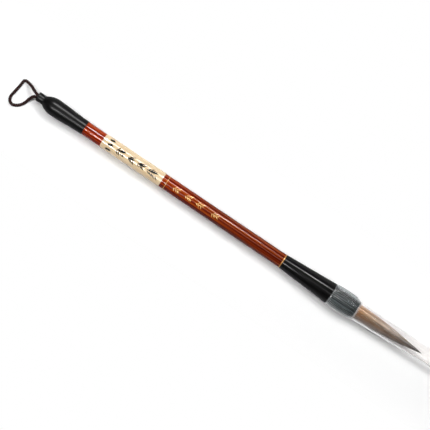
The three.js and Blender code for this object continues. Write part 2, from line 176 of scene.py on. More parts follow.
CORD_DIAMETER = 1.7
CORD_STRANDS = 3
CORD_LAY = 3.4
CORD_CROWN = 1.12
CORD_GROOVE = 0.3
CORD_GROOVE_FORM = 1.5
CORD_SIDES = 27
CORD_GAP = 0.22
CORD_STRAND_OFFSET = 0.95
CORD_TURN = math.radians(38)

# Route of the cord inside and outside the plug: x from the plug's rear face, y, z from the table
CORD_INSIDE = (10.3, 5.15, 0.6)
CORD_ROUTE = [
    (-1.3, 0.8, 7.9), (-2.6, 1.3, 7.4), (-4.4, 1.9, 6.3), (-6.3, 2.7, 4.6), (-8.3, 3.2, 2.9),
    (-10.2, 3.5, 1.6), (-11.5, 3.6, 1), (-12.5, 3, 0.9), (-12.7, 1.6, 0.9), (-12.9, -0.6, 0.9),
    (-13.3, -3.2, 0.9), (-13.7, -6.1, 0.9), (-14, -8.7, 0.9), (-13.4, -10.8, 0.9),
    (-12.3, -11.9, 0.9), (-10.8, -12.4, 0.9), (-9.2, -11.9, 0.9), (-7.5, -10.9, 0.9),
    (-6, -9.3, 1), (-4.8, -7, 1.5), (-4.1, -4.9, 2.4), (-3.2, -2.9, 3.7), (-1.8, -1.3, 5.3),
]


# ---- Mesh helpers ----


def placed(name, data):
    """A new object in the scene."""
    made = bpy.data.objects.new(name, data)
    scene.collection.objects.link(made)
    return made


def smooth_object(name, mesh, look):
    mesh.polygons.foreach_set("use_smooth", [True] * len(mesh.polygons))
    mesh.materials.append(look)
    return placed(name, mesh)


def finished(name, points, faces, look, sharp_above=32):
    """An object from points in millimetres, smooth but for edges above an angle in degrees."""
    mesh = bpy.data.meshes.new(name)
    mesh.from_pydata((np.asarray(points, float) * MM).tolist(), [], faces)
    mesh.validate()
    mesh.update()
    shape = bmesh.new()
    shape.from_mesh(mesh)
    bmesh.ops.recalc_face_normals(shape, faces=shape.faces)
    limit = math.radians(sharp_above)
    for edge in shape.edges:
        edge.smooth = len(edge.link_faces) != 2 or edge.calc_face_angle(0) < limit
    shape.to_mesh(mesh)
    shape.free()
    return smooth_object(name, mesh, look)


def ring_faces(rings, segments, closed=False):
    """Faces between rings of points. The last ring joins the first, or both ends are flat."""
    faces = []
    for ring in range(rings if closed else rings - 1):
        near, far = ring * segments, (ring + 1) % rings * segments
        for i in range(segments):
            j = (i + 1) % segments
            faces.append([near + i, near + j, far + j, far + i])
    if not closed:
        faces.append(list(range(segments)))
        faces.append(list(range((rings - 1) * segments, rings * segments)))
    return faces


def sheet_faces(corner, rows, columns):
    """Faces round a thin sheet. corner numbers a point by its layer (0 or 1), row and column."""
    faces = []
    for i in range(rows - 1):
        for k in range(columns - 1):
            for side in (0, 1):
                near, far = (side, i), (side, i + 1)
                faces.append([(*near, k), (*near, k + 1), (*far, k + 1), (*far, k)])
        for k in (0, columns - 1):
            faces.append([(0, i, k), (1, i, k), (1, i + 1, k), (0, i + 1, k)])
    for i in (0, rows - 1):
        for k in range(columns - 1):
            faces.append([(0, i, k), (0, i, k + 1), (1, i, k + 1), (1, i, k)])
    return [[corner(*place) for place in face] for face in faces]


def circle(count):
    """Angles that divide a full turn evenly."""
    return [2 * math.pi * i / count for i in range(count)]


def round_axis(x, radius, angle):
    """A point at a radius from the brush's axis. Angle 0 is straight up and 90 degrees is +Y."""
    return (x, radius * math.sin(angle), AXIS_Z + radius * math.cos(angle))


def turned(name, profile, look, segments=160):
    """A piece turned from (x, radius) points that run once round its section."""
    points, rings = [], []
    for x, radius in profile:
        count = segments if radius > ON_AXIS else 1
        rings.append(range(len(points), len(points) + count))
        points += [round_axis(x, radius, angle) for angle in circle(count)]
    faces = []
    for near, far in zip(rings, rings[1:] + rings[:1]):
        if len(near) == 1 and len(far) == 1:
            continue
        for i in range(segments):
            j = (i + 1) % segments
            low = [near[i % len(near)], near[j % len(near)]]
            faces.append(list(dict.fromkeys([*low, far[j % len(far)], far[i % len(far)]])))
    return finished(name, points, faces, look)


def rounded(corners, steps=4):
    """A profile whose corners (x, radius, rounding) are rounded where a rounding is given."""
    profile = []
    for i, corner in enumerate(corners):
        here = Vector(corner[:2])
        if len(corner) < 3:
            profile.append(tuple(here))
            continue
        before = Vector(corners[i - 1][:2])
        after = Vector(corners[(i + 1) % len(corners)][:2])
        start = here + (before - here).normalized() * corner[2]
        end = here + (after - here).normalized() * corner[2]
        for step in range(steps + 1):
            t = step / steps
            profile.append(tuple(start * (1 - t) ** 2 + here * 2 * t * (1 - t) + end * t * t))
    return profile


def ease(share):
    """A share from 0 to 1 that starts and ends slowly."""
    return (1 - math.cos(math.pi * share)) / 2


def spread(start, end, count):
    return np.linspace(start, end, count).tolist()


# ---- Looks of the clear plastic ----

# Colours by how a wall faces, from face on (0) to edge on (1): what it lets through to the eye,
# and what it lets through to the table
COLLAR_TINT = [(0, (0.92, 0.955, 0.96)), (0.5, (0.69, 0.715, 0.72)), (1, (0.5, 0.53, 0.53))]
TUBE_TINT = [(0, (0.998, 0.992, 0.988)), (0.8, (0.99, 0.98, 0.975)), (1, (0.9, 0.88, 0.875))]
COLLAR_SHADE = (0.78, 0.78, 0.78, 1)
TUBE_SHADE = [(x, (grey,) * 3) for x, grey in ((0, 0.99), (0.3, 0.965), (0.6, 0.85), (1, 0.6))]

# Reflection, first on the collar and then on the tube
SHEEN = (0.014, 0.01)
EDGE_GLOSS = (2, 2.2)
EDGE_GLOSS_POWER = (4, 3)
GLOSS_ROUGHNESS = (0.12, 0.1)
WEAR_ROUGHNESS = 0.06
MOST_GLOSS = 0.9

# A smoked tint on the rib crests, which also stands in as painted highlight lines for the ribs'
# glints, with tones from the axis (0) to SMOKE_AND_GLINT_TONE_REACH towards +Y (1), darker towards
# +Y
SMOKE_AND_GLINTS = 0.6
SMOKE_AND_GLINT_SHARPNESS = 3
SMOKE_AND_GLINT_UNEVEN = (0.35, 1.6)
SMOKE_AND_GLINT_RUNOUT = 0.3
SMOKE_AND_GLINT_TONE_REACH = 5
SMOKE_AND_GLINT_TONES = [(0, (0.16, 0.185, 0.19)), (0.4, (0.125, 0.145, 0.148)), (1, (0.085, 0.098, 0.1))]

# Painted light: milky white that stands in for light caught in the collar's two rims (place from
# the mouth or from the collar's end, half width, strength) and for the bright line along the -Y
# side, growing between two places across the collar and between two shares of the tube's radius.
# Its normal is lifted towards +Z so that it is lit like the table.
MOUTH_RIM = (0.35, 0.7, 0.17)
FRONT_RIM = (0.7, 0.8, 0.22)
COLLAR_SIDE = (-6, -6.6)
COLLAR_SIDE_PAINTED_LIGHT = 0.65
TUBE_SIDE = (0.8, 0.9)
TUBE_SIDE_PAINTED_LIGHT = 0.9
PAINTED_LIGHT_LIFT = (0, 0, 3)


# ---- Material helpers ----


class Nodes:
    """Makes nodes of one material and links them."""

    def __init__(self, tree):
        self.tree = tree

    def put(self, kind, values=(), **settings):
        """A new node. values holds its inputs by name or in order, and sockets are linked."""
        made = self.tree.nodes.new(kind)
        for key, value in settings.items():
            setattr(made, key, value)
        inputs = values if isinstance(values, dict) else dict(enumerate(values))
        for key, value in inputs.items():
            if isinstance(value, bpy.types.NodeSocket):
                self.tree.links.new(value, made.inputs[key])
            else:
                made.inputs[key].default_value = value
        return made

    def shader(self, kind, values):
        return self.put(kind, values).outputs[0]

    def place(self):
        return self.put("ShaderNodeTexCoord").outputs["Object"]

    def place_parts(self):
        """The place in metres, along the brush, across it and up."""
        return self.put("ShaderNodeSeparateXYZ", [self.place()]).outputs

    def vector(self, operation, *values):
        return self.put("ShaderNodeVectorMath", values, operation=operation).outputs[0]

    def noise(self, scale, detail, roughness=0.55):
        """Noise by the place in metres. scale is one factor, or one for each axis."""
        place = self.place()
        if isinstance(scale, tuple):
            place, scale = self.vector("MULTIPLY", place, scale), 1
        values = {"Vector": place, "Scale": scale, "Detail": detail, "Roughness": roughness}
        return self.put("ShaderNodeTexNoise", values).outputs["Fac"]

    def ramp(self, factor, stops):
        made = self.put("ShaderNodeValToRGB", [factor])
        elements = made.color_ramp.elements
        while len(elements) < len(stops):
            elements.new(0.5)
        for element, (position, color) in zip(elements, stops):
            element.position = position
            element.color = (*color, 1)
        return made.outputs["Color"]

    def span(self, value, low, high, to_low=0, to_high=1):
        """A value from low to high, brought to the range from to_low to to_high."""
        values = (value, low, high, to_low, to_high)
        return self.put("ShaderNodeMapRange", values).outputs["Result"]

    def math(self, operation, *values):
        return self.put("ShaderNodeMath", values, operation=operation).outputs[0]

    def times(self, first, second):
        return self.math("MULTIPLY", first, second)

    def mix(self, factor, first, second, blend="MIX"):
        values = {"Factor": factor, 6: first, 7: second}
        made = self.put("ShaderNodeMix", values, data_type="RGBA", blend_type=blend)
        return made.outputs[2]

    def mix_shaders(self, factor, first, second):
        return self.shader("ShaderNodeMixShader", [factor, first, second])

    def bump(self, height, strength, distance):
        values = {"Height": height, "Strength": strength, "Distance": distance * MM}
        return self.put("ShaderNodeBump", values).outputs["Normal"]


def material(name, build, *values):
    """A material from build, which returns a shader or the inputs of a Principled shader."""
    made = bpy.data.materials.new(name)
    made.use_nodes = True
    made.node_tree.nodes.clear()
    nodes = Nodes(made.node_tree)
    built = build(nodes, *values)
    if isinstance(built, dict):
        built = nodes.shader("ShaderNodeBsdfPrincipled", built)
    nodes.put("ShaderNodeOutputMaterial", {"Surface": built})
    return made


# ---- Materials ----

HORN_COAT = 0.17
NECK_COAT = 0.02
COAT_EDGE = 0.05

# The lacquer gets darker along the brush. Its front part also has painted light and shade: a
# little lighter towards +Y and darker towards -Y.
LACQUER_DARKENS = (-75, -20)
LACQUER_PAINTED_SHADE = (1.2, -3.2)
LACQUER_PAINTED_SHADE_SHIFT = (-0.012, 0.035)


def black_horn(nodes, polish):
    """Satin horn. The neck under the cap isn't polished."""
    along, _, _ = nodes.place_parts()
    edge = ((SHOULDER_X - COAT_EDGE) * MM, (SHOULDER_X + COAT_EDGE) * MM)
    grain = nodes.noise((60, 900, 900), detail=4)
    scuffs = nodes.noise((900, 5200, 5200), detail=2)
    tones = [(0.35, (0.002, 0.002, 0.0021)), (0.7, (0.006, 0.0057, 0.0055))]
    return {
        "Base Color": nodes.ramp(grain, tones),
        "Roughness": nodes.span(grain, 0.3, 0.7, 0.35, 0.6),
        "Specular IOR Level": 0.02,
        "Coat Weight": nodes.span(along, *edge, HORN_COAT, NECK_COAT),
        "Coat Roughness": polish,
        "Normal": nodes.bump(scuffs, 0.03, 0.02),
    }


def red_lacquer(nodes):
    along, across, _ = nodes.place_parts()
    start, end = LACQUER_DARKENS
    darker = nodes.span(along, start * MM, end * MM)
    broad = nodes.noise((5, 700, 700), detail=2)
    fine = nodes.noise((14, 2300, 2300), detail=3)
    pores = nodes.noise((90, 6500, 6500), detail=2)
    # Painted light and shade: on the front part the lacquer is lighter towards +Y and darker
    # towards -Y
    lit, shaded = LACQUER_PAINTED_SHADE
    side = nodes.span(across, lit * MM, shaded * MM, *LACQUER_PAINTED_SHADE_SHIFT)
    figure = nodes.math("ADD", nodes.times(broad, 0.5), nodes.times(fine, 0.5))
    figure = nodes.math("SUBTRACT", figure, nodes.times(side, darker))
    tail = nodes.ramp(figure, [
        (0.42, (0.12, 0.005, 0.001)), (0.49, (0.27, 0.017, 0.0018)), (0.58, (0.42, 0.045, 0.004)),
    ])
    front = nodes.ramp(figure, [
        (0.42, (0.06, 0.004, 0.001)), (0.48, (0.13, 0.011, 0.0015)), (0.53, (0.21, 0.025, 0.003)),
        (0.6, (0.36, 0.07, 0.01)),
    ])
    color = nodes.mix(darker, tail, front)
    dark_pores = nodes.ramp(pores, [(0.30, (0.45, 0.4, 0.4)), (0.42, (1, 1, 1))])
    return {
        "Base Color": nodes.mix(0.6, color, dark_pores, "MULTIPLY"),
        "Roughness": 0.6,
        "Specular IOR Level": 0,
        "Coat Weight": 0.3,
        "Coat Roughness": 0.035,
    }


def label_paper(nodes):
    fibres = nodes.noise((700, 2600, 2600), detail=4)
    tone = nodes.noise((60, 260, 260), detail=2)
    mixed = nodes.math("ADD", nodes.times(fibres, 0.35), nodes.times(tone, 0.65))
    return {
        "Base Color": nodes.ramp(mixed, [(0.3, (0.72, 0.53, 0.31)), (0.7, (0.84, 0.66, 0.42))]),
        "Roughness": 0.6,
        "Specular IOR Level": 0,
        "Coat Weight": 1,
        "Coat Roughness": 0.06,
        "Normal": nodes.bump(fibres, 0.05, 0.02),
    }


def black_ink(nodes):
    wear = nodes.noise((1500, 2500, 2500), detail=3)
    return {
        "Base Color": nodes.ramp(wear, [(0.3, (0.004,) * 3), (0.75, (0.016, 0.014, 0.012))]),
        "Roughness": nodes.span(wear, 0.3, 0.7, 0.5, 0.7),
        "Specular IOR Level": 0.1,
    }


def gold(nodes, worn, bright):
    wear = nodes.noise((500, 1500, 1500), detail=4)
    return {
        "Base Color": nodes.ramp(wear, [(0.3, worn), (0.65, bright)]),
        "Metallic": 0.3,
        "Roughness": nodes.span(wear, 0.3, 0.7, 0.28, 0.5),
        "Normal": nodes.bump(wear, 0.08, 0.02),
    }


def cord_fibre(nodes):
    fibres = nodes.noise(4200, detail=4)
    tone = nodes.noise(500, detail=2)
    mixed = nodes.math("ADD", nodes.times(fibres, 0.6), nodes.times(tone, 0.4))
    tones = [(0.3, (0.006, 0.0012, 0.0012)), (0.68, (0.03, 0.006, 0.005))]
    return {
        "Base Color": nodes.ramp(mixed, tones),
        "Roughness": 0.7,
        "Specular IOR Level": 0.12,
        "Normal": nodes.bump(fibres, 0.35, 0.05),
    }


# Painted light and shade on the hair from its -Y side (0) to its +Y side (1): painted shade on
# the -Y side, a painted highlight band towards +Y, a narrow dark line past it, and a lighter +Y
# edge
HAIR_PAINTED_LIGHT_STOPS = [
    (0.1, (0.16, 0.14, 0.125)), (0.2, (0.185, 0.16, 0.14)), (0.3, (0.26, 0.225, 0.195)),
    (0.4, (0.35, 0.31, 0.275)), (0.5, (0.39, 0.38, 0.36)), (0.61, (0.77, 0.86, 0.96)),
    (0.73, (0.94, 1.05, 1.13)), (0.765, (0.6, 0.63, 0.64)), (0.785, (0.37, 0.37, 0.36)),
    (0.83, (0.47, 0.46, 0.44)), (1, (0.58, 0.57, 0.56)),
]
HAIR_LEAST_RADIUS = 0.3

# Colours of the mantle and the core from the ferrule's mouth (0) to the core's point (1)
MANTLE_STOPS = [
    (0, (0.86, 0.44, 0.17)), (0.12, (0.8, 0.48, 0.25)), (0.3, (0.76, 0.53, 0.36)),
    (0.5, (0.82, 0.63, 0.5)), (0.75, (0.74, 0.6, 0.51)),
]
CORE_STOPS = [
    (0, (0.32, 0.21, 0.14)), (0.5, (0.5, 0.4, 0.33)), (0.74, (0.64, 0.53, 0.46)),
    (0.84, (0.4, 0.335, 0.3)), (1, (0.08, 0.06, 0.05)),
]
MANTLE_STREAKS = [(0.38, (0.42, 0.37, 0.34)), (0.5, (0.85, 0.84, 0.83)), (0.62, (1.12, 1.13, 1.14))]
CORE_STREAKS = [(0.3, (0.55, 0.5, 0.5)), (0.6, (1, 1, 1))]


def hair(nodes, stops, streaks):
    """Hair whose colour runs along its length, with streaks from lock to lock, and painted light
    and shade across it from its -Y side to its +Y side.
    """
    along, across, _ = nodes.place_parts()
    length = nodes.span(along, MOUTH_X * MM, HAIR_TIP_X * MM)
    locks = nodes.noise((14, 1900, 1900), detail=3, roughness=0.65)
    taper = nodes.math("SUBTRACT", 1, nodes.math("POWER", length, HAIR_FULLNESS))
    radius = nodes.times(nodes.math("POWER", taper, HAIR_TAPER), HAIR_RADIUS * MM)
    radius = nodes.math("MAXIMUM", radius, HAIR_LEAST_RADIUS * MM)
    bent = nodes.times(nodes.math("POWER", length, 2), HAIR_DRIFT * MM)
    share = nodes.math("DIVIDE", nodes.math("SUBTRACT", across, bent), radius)
    # Painted light and shade across the bundle, from its -Y side to its +Y side
    side = nodes.ramp(nodes.span(share, -1, 1), HAIR_PAINTED_LIGHT_STOPS)
    tone = nodes.ramp(length, stops)
    streaked = nodes.mix(1, tone, nodes.ramp(locks, streaks), "MULTIPLY")
    return {
        "Base Color": nodes.mix(1, streaked, side, "MULTIPLY"),
        "Roughness": 0.48,
        "Specular IOR Level": 0.9,
    }


def thread(nodes):
    twist = nodes.noise(5200, detail=3)
    return {
        "Base Color": nodes.ramp(twist, [(0.3, (0.45, 0.38, 0.28)), (0.7, (0.74, 0.66, 0.53))]),
        "Roughness": 0.85,
        "Normal": nodes.bump(twist, 0.4, 0.05),
    }


def rosin(nodes):
    cloud = nodes.noise(700, detail=3)
    return {
        "Base Color": nodes.ramp(cloud, [(0.3, (0.16, 0.05, 0.01)), (0.7, (0.32, 0.13, 0.03))]),
        "Roughness": nodes.span(cloud, 0.3, 0.7, 0.2, 0.45),
    }


def clear_plastic(nodes):
    """Thin clear walls with a smoked tint and painted highlight lines on the collar's ribs, and
    painted light as milky white at its rims and the -Y side.
    """
    along, across, up = nodes.place_parts()
    collar_end = MOUTH_X - CAP_SEAT_GAP
    in_tube = nodes.span(along, collar_end * MM, (collar_end + COLLAR_EASE_LENGTH) * MM)
    facing = nodes.put("ShaderNodeLayerWeight", {"Blend": 0.5}).outputs["Facing"]
    in_light = nodes.put("ShaderNodeLightPath").outputs["Is Shadow Ray"]

    def by_part(on_collar, on_tube):
        return nodes.span(in_tube, 0, 1, on_collar, on_tube)

    def rim(x, half_width, strength):
        off = nodes.math("ABSOLUTE", nodes.math("SUBTRACT", along, x * MM))
        return nodes.span(off, 0, half_width * MM, strength, 0)

    tint = nodes.mix(in_tube, nodes.ramp(facing, COLLAR_TINT), nodes.ramp(facing, TUBE_TINT))
    shade = nodes.mix(in_tube, COLLAR_SHADE, nodes.ramp(facing, TUBE_SHADE))
    seen = nodes.shader("ShaderNodeBsdfTransparent", {"Color": tint})
    cast = nodes.shader("ShaderNodeBsdfTransparent", {"Color": shade})
    clear = nodes.mix_shaders(in_light, seen, cast)

    # How far out a point lies towards -Y, as a share of the tube's radius
    slope = math.tan(TUBE_LEAN)
    lean = nodes.times(nodes.math("SUBTRACT", along, MOUTH_X * MM), slope)
    radii = (TUBE_RADIUS * MM, (TUBE_RADIUS - TUBE_DRAFT) * MM)
    tube_radius = nodes.span(along, MOUTH_X * MM, CAP_END_X * MM, *radii)
    outward = nodes.math("DIVIDE", nodes.math("SUBTRACT", lean, across), tube_radius)

    # Painted light: milky white at the collar's rims and along the -Y side, lit as if it faced up
    tube_side = nodes.span(outward, *TUBE_SIDE, 0, TUBE_SIDE_PAINTED_LIGHT)
    inner, outer = COLLAR_SIDE
    collar_side = nodes.span(across, inner * MM, outer * MM, 0, COLLAR_SIDE_PAINTED_LIGHT)
    sides = nodes.math("MAXIMUM", nodes.times(tube_side, in_tube), collar_side)
    into, *mouth = MOUTH_RIM
    past, *front = FRONT_RIM
    rims = nodes.math("ADD", rim(SHOULDER_X + into, *mouth), rim(collar_end + past, *front))
    painted_light = nodes.math("MAXIMUM", rims, sides)
    upward = nodes.put("ShaderNodeTexCoord").outputs["Normal"]
    evened = nodes.vector("NORMALIZE", nodes.vector("ADD", upward, PAINTED_LIGHT_LIFT))
    values = {"Color": (0.95, 0.93, 0.925, 1), "Normal": evened}
    with_painted_light = nodes.mix_shaders(painted_light, clear, nodes.shader("ShaderNodeBsdfDiffuse", values))

    # A smoked tint on the rib crests that also paints highlight lines for the ribs' glints
    angle = nodes.math("ARCTAN2", across, nodes.math("SUBTRACT", up, AXIS_Z * MM))
    wave = nodes.math("COSINE", nodes.times(angle, RIB_COUNT))
    ribbed = nodes.math("POWER", nodes.span(wave, -1, 1), SMOKE_AND_GLINT_SHARPNESS)
    patches = nodes.noise((40, 620, 620), detail=1)
    uneven = nodes.span(patches, 0.35, 0.65, *SMOKE_AND_GLINT_UNEVEN)
    smoke_and_glints = nodes.times(nodes.times(ribbed, SMOKE_AND_GLINTS), uneven)
    on_collar = nodes.span(in_tube, 0, SMOKE_AND_GLINT_RUNOUT, 1, 0)
    tone = nodes.ramp(nodes.span(across, 0, SMOKE_AND_GLINT_TONE_REACH * MM), SMOKE_AND_GLINT_TONES)
    smoky_glints = nodes.shader("ShaderNodeBsdfDiffuse", {"Color": tone})
    ribs = nodes.mix_shaders(nodes.times(smoke_and_glints, on_collar), with_painted_light, smoky_glints)

    grazing = nodes.math("POWER", facing, by_part(*EDGE_GLOSS_POWER))
    gloss = nodes.times(grazing, by_part(*EDGE_GLOSS))
    gloss = nodes.math("ADD", gloss, by_part(*SHEEN))
    mirror = nodes.math("MINIMUM", gloss, nodes.span(in_light, 0, 1, MOST_GLOSS, 0))
    wear = nodes.noise((500, 1800, 1800), detail=3)
    worn = nodes.times(wear, WEAR_ROUGHNESS)
    roughness = nodes.math("ADD", worn, by_part(*GLOSS_ROUGHNESS))
    values = {"Color": (1, 1, 1, 1), "Roughness": roughness}
    return nodes.mix_shaders(mirror, ribs, nodes.shader("ShaderNodeBsdfGlossy", values))


BULB_LOOK = material("black_horn_satin", black_horn, 0.3)
FERRULE_LOOK = material("black_horn_polished", black_horn, 0.15)
SHAFT_LOOK = material("red_lacquered_wood", red_lacquer)
LABEL_LOOK = material("cream_label_paper", label_paper)
INK_LOOK = material("black_ink", black_ink)
GOLD_LOOK = material("gold", gold, (0.56, 0.3, 0.075), (0.8, 0.49, 0.155))
RING_LOOK = material("ring_gold", gold, (0.36, 0.15, 0.025), (0.52, 0.26, 0.055))
CORD_LOOK = material("brown_cord", cord_fibre)
MANTLE_LOOK = material("golden_brown_hair", hair, MANTLE_STOPS, MANTLE_STREAKS)
CORE_LOOK = material("dark_hair", hair, CORE_STOPS, CORE_STREAKS)
THREAD_LOOK = material("undyed_thread", thread)
ROSIN_LOOK = material("amber_rosin", rosin)
CLEAR_LOOK = material("clear_plastic", clear_plastic)


# ---- Cord ----


def catmull_rom(points, steps=24):
    """Points along a centripetal Catmull-Rom curve through the given ones."""
    known = [np.array(p, float) for p in points]
    known = [2 * known[0] - known[1], *known, 2 * known[-1] - known[-2]]
    along = []
    for a, b, c, d in zip(known, known[1:], known[2:], known[3:]):
        pairs = ((a, b), (b, c), (c, d))
        first, middle, last = (math.sqrt(np.linalg.norm(q - p)) for p, q in pairs)
        leave = ((b - a) / first - (c - a) / (first + middle) + (c - b) / middle) * middle
        arrive = ((c - b) / middle - (d - b) / (middle + last) + (d - c) / last) * middle
        for t in np.arange(steps) / steps:
            cubic = (2 * b - 2 * c + leave + arrive) * t**3
            square = (-3 * b + 3 * c - 2 * leave - arrive) * t**2
            along.append(b + leave * t + square + cubic)
    along.append(known[-2])
    return np.array(along)


def evenly(points, gap):
    """The same line with its points a fixed distance apart."""
    steps = np.linalg.norm(np.diff(points, axis=0), axis=1)
    reached = np.concatenate([[0], np.cumsum(steps)])
    wanted = np.linspace(0, reached[-1], int(reached[-1] / gap) + 1)
    return np.stack([np.interp(wanted, reached, points[:, k]) for k in range(3)], 1)


def cord():
    """The twisted cord: three strands laid round each other, out of the plug and back into it."""
    aside = CORD_STRAND_OFFSET * math.sin(CORD_TURN)
    above = CORD_STRAND_OFFSET * math.cos(CORD_TURN)
    out = [(PLUG_X + x, aside, AXIS_Z + above) for x in CORD_INSIDE]
    back = [(PLUG_X + x, -aside, AXIS_Z - above) for x in reversed(CORD_INSIDE)]
    outside = [(PLUG_X + x, y, z) for x, y, z in CORD_ROUTE]
    path = evenly(catmull_rom(out + outside + back), CORD_GAP)
    tangents = np.gradient(path, axis=0)
    tangents /= np.linalg.norm(tangents, axis=1)[:, None]
    across = np.array([0.0, 0.0, 1.0])
    points = []
    for i, (centre, tangent) in enumerate(zip(path, tangents)):
        across = across - tangent * (across @ tangent)
        across /= np.linalg.norm(across)
        other = np.cross(tangent, across)
        twist = 2 * math.pi * i * CORD_GAP / CORD_LAY
        for angle in circle(CORD_SIDES):
            lobe = abs(math.cos(CORD_STRANDS * (angle - twist) / 2))
            groove = CORD_GROOVE * (1 - lobe) ** CORD_GROOVE_FORM
            radius = CORD_DIAMETER / 2 * CORD_CROWN * (1 - groove)
            points.append(centre + (across * math.cos(angle) + other * math.sin(angle)) * radius)
    faces = ring_faces(len(path), CORD_SIDES)
    made = finished("twisted_cord", points, faces, CORD_LOOK, sharp_above=60)
    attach(made, "brush")
    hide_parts("hanging_loop")


# ---- Turned pieces of the handle ----


def hanger_plug():
    front = BULB_X + PLUG_STEM_LENGTH
    profile = rounded([
        (PLUG_X, PLUG_BORE_RADIUS, PLUG_BORE_ROUND),
        (PLUG_X, PLUG_RADIUS, PLUG_REAR_ROUND),
        (BULB_X, PLUG_RADIUS, PLUG_FRONT_ROUND),
        (BULB_X, PLUG_STEM_RADIUS),
        (front, PLUG_STEM_RADIUS),
        (front, PLUG_BORE_RADIUS),
    ])
    return turned("plug_turned", profile, BULB_LOOK)


def bulb_radius(x):
    """Radius of the bulb at a distance from its rear end."""
    if x < BULB_WIDEST_AT:
        dome = 1 - ((BULB_WIDEST_AT - x) / BULB_WIDEST_AT) ** BULB_DOME_FULLNESS
        return PLUG_RADIUS + (BULB_RADIUS - PLUG_RADIUS) * dome
    share = (x - BULB_WIDEST_AT) / (BULB_LENGTH - BULB_FRONT_LAND - BULB_WIDEST_AT)
    return BULB_RADIUS + (BULB_FRONT_RADIUS - BULB_RADIUS) * ease(min(1, share))


def tail_bulb():
    shares = spread(0, 1, BULB_DOME_POINTS)
    dome = [BULB_WIDEST_AT * share**BULB_DOME_CROWDING for share in shares]
    taper = spread(BULB_WIDEST_AT, BULB_LENGTH - BULB_FRONT_LAND, BULB_TAPER_POINTS)
    outline = [(BULB_X + x, bulb_radius(x)) for x in dome + taper[1:]]
    floor = SHAFT_X - TAIL_TENON_LENGTH - SOFT_GAP
    inside = rounded([
        (SHAFT_X, BULB_FRONT_RADIUS, EDGE_ROUND),
        (SHAFT_X, TENON_RADIUS + FIT),
        (floor, TENON_RADIUS + FIT),
        (floor, PLUG_STEM_RADIUS + FIT),
        (BULB_X, PLUG_STEM_RADIUS + FIT),
    ])
    return turned("bulb_turned", outline + inside, BULB_LOOK)


def shaft_radius(x):
    share = (x - SHAFT_X) / SHAFT_LENGTH
    return SHAFT_TAIL_RADIUS + (SHAFT_FRONT_RADIUS - SHAFT_TAIL_RADIUS) * share


def shaft():
    rear, front = SHAFT_X - TAIL_TENON_LENGTH, RING_X + FRONT_TENON_LENGTH
    profile = rounded([
        (rear, 0),
        (rear, TENON_RADIUS, TENON_ROUND),
        (SHAFT_X, TENON_RADIUS),
        (SHAFT_X, SHAFT_TAIL_RADIUS, EDGE_ROUND),
        (RING_X, SHAFT_FRONT_RADIUS, EDGE_ROUND),
        (RING_X, TENON_RADIUS),
        (front, TENON_RADIUS, TENON_ROUND),
        (front, 0),
    ])
    return turned("shaft_turned", profile, SHAFT_LOOK)


def band(name, rear, front, inner, outer, edge, look):
    """A ring between two places along the brush, with its outer edges rounded."""
    corners = [(rear, inner), (rear, outer, edge), (front, outer, edge), (front, inner)]
    return turned(name, rounded(corners), look)


def gold_ring():
    bore = TENON_RADIUS + FIT
    return band("ring_turned", RING_X, FERRULE_X, bore, RING_RADIUS, RING_ROUND, RING_LOOK)


def label_surface(x):
    return shaft_radius(x) + FIT + LABEL_THICKNESS


def label():
    """The paper wrapped round the shaft, its front edge lapped over its back edge underneath."""
    turns = 2 * math.pi + LABEL_LAP
    angles = spread(math.pi, math.pi + turns, int(turns / LABEL_STEP) + 1)
    columns = spread(LABEL_X, LABEL_END_X, LABEL_COLUMNS)
    points = []
    for angle in angles:
        over = min(1, max(0, (angle - 3 * math.pi + LABEL_LAP_CLIMB) / LABEL_LAP_CLIMB))
        lift = (LABEL_THICKNESS + LABEL_LAP_PLAY) * ease(over)
        for base in (FIT, FIT + LABEL_THICKNESS):
            points += [round_axis(x, shaft_radius(x) + base + lift, angle) for x in columns]

    def corner(side, i, k):
        return (2 * i + side) * LABEL_COLUMNS + k

    faces = sheet_faces(corner, len(angles), LABEL_COLUMNS)
    return finished("label_wrap", points, faces, LABEL_LOOK)


# ---- Painted sprigs ----

PAINT_LAYERS = (-0.02, 0.015)
STROKE_TIP = 0.04

# A sprig's stem and leaves. Places, lengths and widths of leaves are shares, tilts and angles are
# in degrees, and bends are in radians.
STEM_ASIDE = 0.3
STEM_TILT = 6
STEM_BEND = 0.08
LEAVES_PER_MM = 1.1
FEWEST_LEAVES = 4
FIRST_LEAF = 0.08
LEAF_REACH = 0.8
LEAF_ANGLES = (38, 78)
LEAF_LENGTHS = (0.7, 1.05)
LEAF_WIDTHS = (0.8, 1.15)
LEAF_BEND = 0.3

# Sprigs on the label and gilded ones on the shaft: middle from the label's start or end, length
INK_SPRIGS = [(12.5, 6.1), (19.9, 4.6), (26.6, 5.2), (34.4, 8.1)]
GOLD_SPRIGS = [(10.4, 5.2), (18.6, 5.2), (26.4, 5.8), (37.1, 5.2)]
INK_STROKES = {"leaf_length": 2.9, "stem_width": 1.25, "leaf_width": 0.72}
GOLD_STROKES = {"leaf_length": 2.5, "stem_width": 0.28, "leaf_width": 0.4}

SEED_MARKS = 5.1
SEED_ACROSS = (-3.4, 0.2, 3.5)
SEED_ALONG = (-0.9, 0.5)
SEED_FOOT = 0.8
SEED_TILT = 25
SEED_LENGTH = 2.3
SEED_WIDTH = 1.5

GOLD_LINE = 2.9
GOLD_LINE_WIDTH = 0.24
GOLD_LINE_SUNK = 0.03
GOLD_LINE_RAISED = 0.02
GOLD_LINE_ROUND = 0.01


